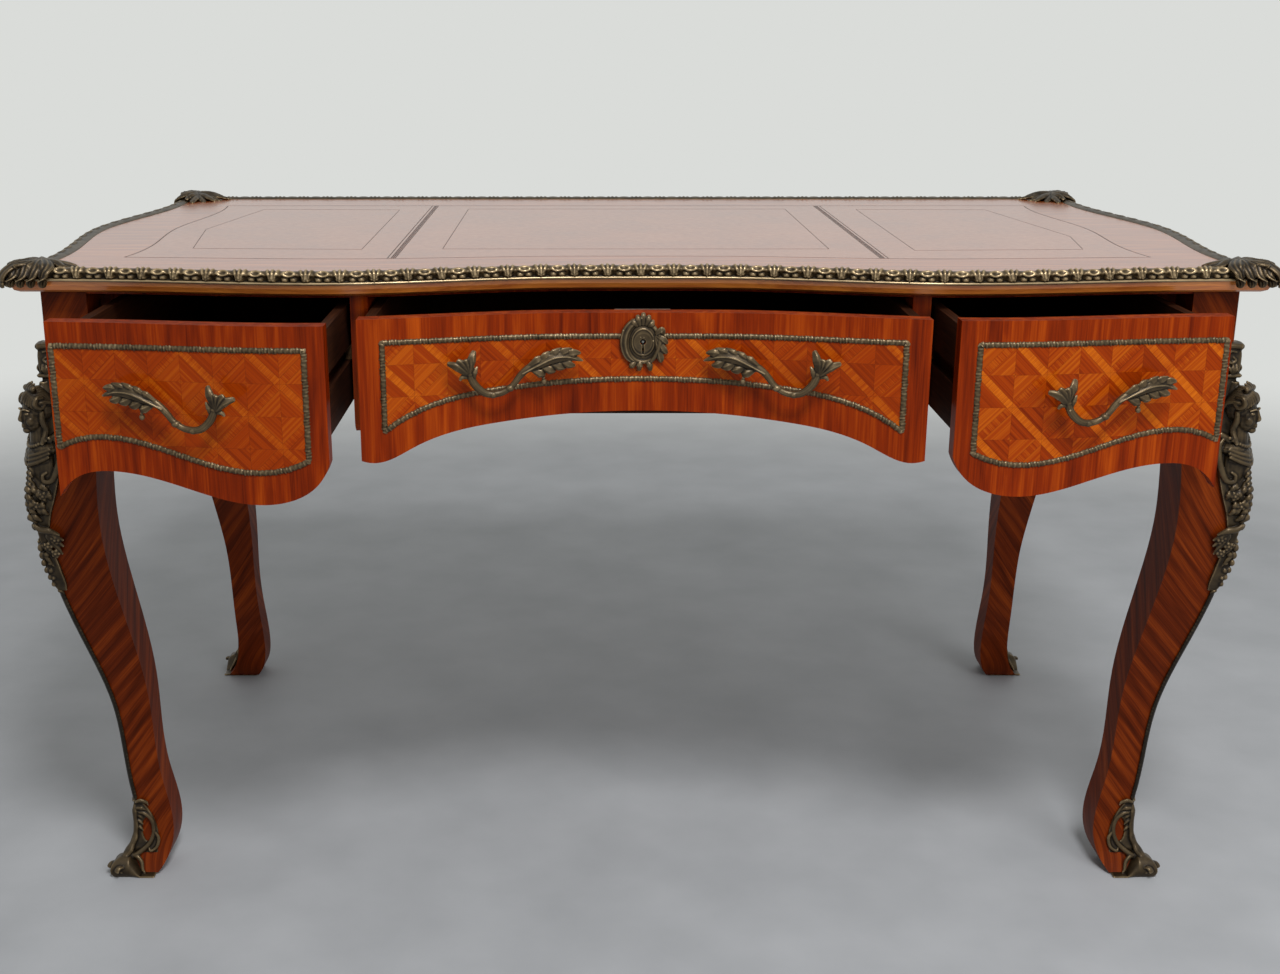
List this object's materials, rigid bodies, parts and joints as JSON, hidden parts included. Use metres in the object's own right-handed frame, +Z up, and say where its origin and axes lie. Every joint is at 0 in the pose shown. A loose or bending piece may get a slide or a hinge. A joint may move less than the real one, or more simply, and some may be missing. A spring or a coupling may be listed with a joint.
{
  "type": "writing table",
  "caption": "Serpentine bureau plat with a leather-lined top, parquetry drawers with shaped aprons, cabriole legs and cast bronze mounts.",
  "frame": {"origin": "on the floor, under the centre of the table's box with the drawers as they stand at rest", "axes": "+X along the width to the sitter's right, -Y out of the front towards the sitter, +Z up from the floor"},
  "size_m": [1.428, 0.962, 0.78],
  "materials": {
    "top_veneer": "polished cross-cut veneer",
    "leather": "smooth tooled hide, waxed",
    "crossband_veneer": "polished straight-grained veneer",
    "leg_veneer": "polished slanting-grained veneer",
    "parquetry": "polished trellis parquetry",
    "drawer_wood": "stained, unpolished",
    "runner_wood": "planed, waxed",
    "bronze": "cast, chased and darkened",
    "lock_steel": "filed bright"
  },
  "bodies": {
    "carcass": {"back_panel": "crossband_veneer", "corner_clasp_front_left": "bronze", "corner_clasp_front_right": "bronze", "corner_clasp_rear_left": "bronze", "corner_clasp_rear_right": "bronze", "drawer_runners": "runner_wood", "edge_moulding_back": "bronze", "edge_moulding_front": "bronze", "edge_moulding_left": "bronze", "edge_moulding_right": "bronze", "frieze_bands": "bronze", "frieze_parquetry": "parquetry", "front_fillet": "crossband_veneer", "glue_blocks": "runner_wood", "leather_centre": "leather", "leather_left": "leather", "leather_right": "leather", "leg_beads": "bronze", "leg_front_left": "leg_veneer", "leg_front_right": "leg_veneer", "leg_mount_front_left": "bronze", "leg_mount_front_right": "bronze", "leg_mount_rear_left": "bronze", "leg_mount_rear_right": "bronze", "leg_rear_left": "leg_veneer", "leg_rear_right": "leg_veneer", "partition_left": "crossband_veneer", "partition_right": "crossband_veneer", "sabot_front_left": "bronze", "sabot_front_right": "bronze", "sabot_rear_left": "bronze", "sabot_rear_right": "bronze", "side_panel_left": "crossband_veneer", "side_panel_right": "crossband_veneer", "top_board": "top_veneer"},
    "left_drawer": {"left_drawer_back": "drawer_wood", "left_drawer_band": "bronze", "left_drawer_bottom": "drawer_wood", "left_drawer_front": "crossband_veneer", "left_drawer_handle": "bronze", "left_drawer_parquetry": "parquetry", "left_drawer_sides": "drawer_wood"},
    "centre_drawer": {"centre_drawer_back": "drawer_wood", "centre_drawer_band": "bronze", "centre_drawer_bottom": "drawer_wood", "centre_drawer_escutcheon": "bronze", "centre_drawer_front": "crossband_veneer", "centre_drawer_handles": "bronze", "centre_drawer_lock_case": "lock_steel", "centre_drawer_parquetry": "parquetry", "centre_drawer_sides": "drawer_wood"},
    "right_drawer": {"right_drawer_back": "drawer_wood", "right_drawer_band": "bronze", "right_drawer_bottom": "drawer_wood", "right_drawer_front": "crossband_veneer", "right_drawer_handle": "bronze", "right_drawer_parquetry": "parquetry", "right_drawer_sides": "drawer_wood"},
    "lock_bolt": {"centre_drawer_lock_bolt": "lock_steel"}
  },
  "joints": [
    {"name": "left_drawer_slide", "type": "slide", "parent": "carcass", "child": "left_drawer", "axis": [0, -1, 0], "range_m": [-0.158, 0.202]},
    {"name": "centre_drawer_slide", "type": "slide", "parent": "carcass", "child": "centre_drawer", "axis": [0, -1, 0], "range_m": [-0.125, 0.235]},
    {"name": "right_drawer_slide", "type": "slide", "parent": "carcass", "child": "right_drawer", "axis": [0, -1, 0], "range_m": [-0.127, 0.233]},
    {"name": "lock_bolt_slide", "type": "slide", "parent": "centre_drawer", "child": "lock_bolt", "axis": [0, 0, 1], "range_m": [0, 0.007]}
  ]
}
